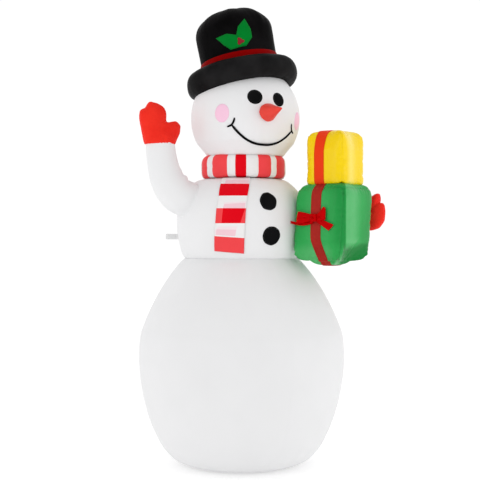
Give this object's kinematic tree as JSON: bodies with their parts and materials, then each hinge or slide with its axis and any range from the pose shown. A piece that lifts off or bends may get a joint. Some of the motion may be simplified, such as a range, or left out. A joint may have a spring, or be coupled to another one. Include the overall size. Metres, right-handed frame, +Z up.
{
  "type": "inflatable yard snowman",
  "caption": "Inflatable fabric snowman with top hat, scarf, waving arm and stacked gift boxes, kept up by a blower in the lower back.",
  "frame": {"origin": "centre of the flat bottom panel, on the ground", "axes": "+Z up; the face looks along -Y; +X is the snowman's left, the side that holds the gifts"},
  "size_m": [1.2001, 1.0996, 2.3636],
  "materials": {
    "white_fabric": "coated woven polyester, pale grey-white, slightly translucent",
    "black_fabric": "coated woven polyester, black, soft sheen",
    "red_fabric": "coated woven polyester, bright red",
    "dark_red_fabric": "coated woven polyester, dark red",
    "orange_red_fabric": "coated woven polyester, orange-red",
    "pink_fabric": "coated woven polyester, pink",
    "green_fabric": "coated woven polyester, green, soft sheen",
    "leaf_fabric": "coated woven polyester, leaf green",
    "yellow_fabric": "coated woven polyester, yellow, soft sheen",
    "ballast_cloth": "dark heavy cloth",
    "grey_webbing": "woven webbing, grey-white",
    "black_plastic": "moulded, fine texture",
    "zipper_nylon": "moulded nylon, off-white",
    "zinc_steel": "zinc-plated steel",
    "frosted_lens": "frosted"
  },
  "bodies": {
    "base": {"lower_body": "white_fabric", "base_panel": "white_fabric", "ballast_bag": "ballast_cloth", "blower_sleeve": "white_fabric", "clamp_ring": "black_plastic", "blower_housing": "black_plastic", "intake_grille": "black_plastic", "grille_screw_1": "zinc_steel", "grille_screw_2": "zinc_steel", "grille_screw_3": "zinc_steel", "grille_screw_4": "zinc_steel", "motor": "zinc_steel", "motor_mount": "black_plastic", "power_inlet": "black_plastic", "zipper_tape": "white_fabric", "zipper_chain": "zipper_nylon", "lamp_base_lower": "black_plastic", "lamp_lens_lower": "frosted_lens"},
    "impeller": {"impeller": "black_plastic", "motor_shaft": "zinc_steel"},
    "zip_slider": {"zipper_slider": "zipper_nylon"},
    "zip_pull": {"zipper_pull": "zipper_nylon"},
    "torso": {"torso": "white_fabric", "scarf_ring": "red_fabric", "button_upper": "black_fabric", "button_lower": "black_fabric", "lamp_base_torso": "black_plastic", "lamp_lens_torso": "frosted_lens"},
    "scarf_tails": {"scarf_tail_under": "red_fabric", "scarf_tail_over": "red_fabric"},
    "tether_right": {"tether_tab_right": "grey_webbing"},
    "tether_left": {"tether_tab_left": "grey_webbing"},
    "head": {"head": "white_fabric", "nose": "orange_red_fabric", "eye_right": "black_fabric", "eye_left": "black_fabric", "cheek_right": "pink_fabric", "cheek_left": "pink_fabric", "mouth": "black_fabric", "hat_brim": "black_fabric", "hat_crown": "black_fabric", "hat_band": "dark_red_fabric", "holly_leaf_right": "leaf_fabric", "holly_leaf_left": "leaf_fabric", "holly_berries": "dark_red_fabric", "lamp_base_head": "black_plastic", "lamp_lens_head": "frosted_lens"},
    "arm_right": {"arm_raised": "white_fabric", "mitten_raised": "red_fabric"},
    "arm_left": {"arm_gift": "white_fabric", "mitten_gift": "red_fabric", "gift_green": "green_fabric", "gift_yellow": "yellow_fabric", "ribbon_green": "dark_red_fabric", "ribbon_yellow": "orange_red_fabric", "bow_knot": "red_fabric", "bow_loop_right": "red_fabric", "bow_loop_left": "red_fabric", "bow_tail_right": "red_fabric", "bow_tail_left": "red_fabric"}
  },
  "joints": [
    {"name": "impeller_spin", "type": "hinge", "parent": "base", "child": "impeller", "pos_m": [0, 0.489, 0.17], "axis": [0, 1, 0], "continuous": true},
    {"name": "zipper_slide", "type": "hinge", "parent": "base", "child": "zip_slider", "pos_m": [0, 0, 0.55], "axis": [0, 0, 1], "range_deg": [0, 36]},
    {"name": "zipper_pull_flap", "type": "hinge", "parent": "zip_slider", "child": "zip_pull", "pos_m": [0.16776, 0.51633, 0.55], "axis": [0, 0, 1], "range_deg": [0, 170]},
    {"name": "waist_sway", "type": "hinge", "parent": "base", "child": "torso", "pos_m": [0, 0, 1.066], "axis": [0, 1, 0], "range_deg": [-5, 5], "stiffness_Nm_per_rad": 200},
    {"name": "scarf_tails_flap", "type": "hinge", "parent": "torso", "child": "scarf_tails", "pos_m": [-0.12498, -0.18529, 1.464], "axis": [-0.8291, 0.5591, 0], "range_deg": [0, 30]},
    {"name": "tether_tab_right_bend", "type": "hinge", "parent": "torso", "child": "tether_right", "pos_m": [-0.3053, 0.14874, 1.178], "axis": [0, 0, 1], "range_deg": [-35, 35], "stiffness_Nm_per_rad": 0.01},
    {"name": "tether_tab_left_bend", "type": "hinge", "parent": "torso", "child": "tether_left", "pos_m": [0.3053, 0.14874, 1.178], "axis": [0, 0, 1], "range_deg": [-35, 35], "stiffness_Nm_per_rad": 0.01},
    {"name": "neck_nod", "type": "hinge", "parent": "torso", "child": "head", "pos_m": [0, -0.022, 1.538], "axis": [1, 0, 0], "range_deg": [-4, 4], "stiffness_Nm_per_rad": 40},
    {"name": "arm_wave", "type": "hinge", "parent": "torso", "child": "arm_right", "pos_m": [-0.3, 0, 1.366], "axis": [0, 1, 0], "range_deg": [-12, 7], "stiffness_Nm_per_rad": 25},
    {"name": "gift_bounce", "type": "hinge", "parent": "torso", "child": "arm_left", "pos_m": [0.3, 0.02, 1.33], "axis": [0.4161, 0.9093, 0], "range_deg": [-3, 3], "stiffness_Nm_per_rad": 150}
  ]
}
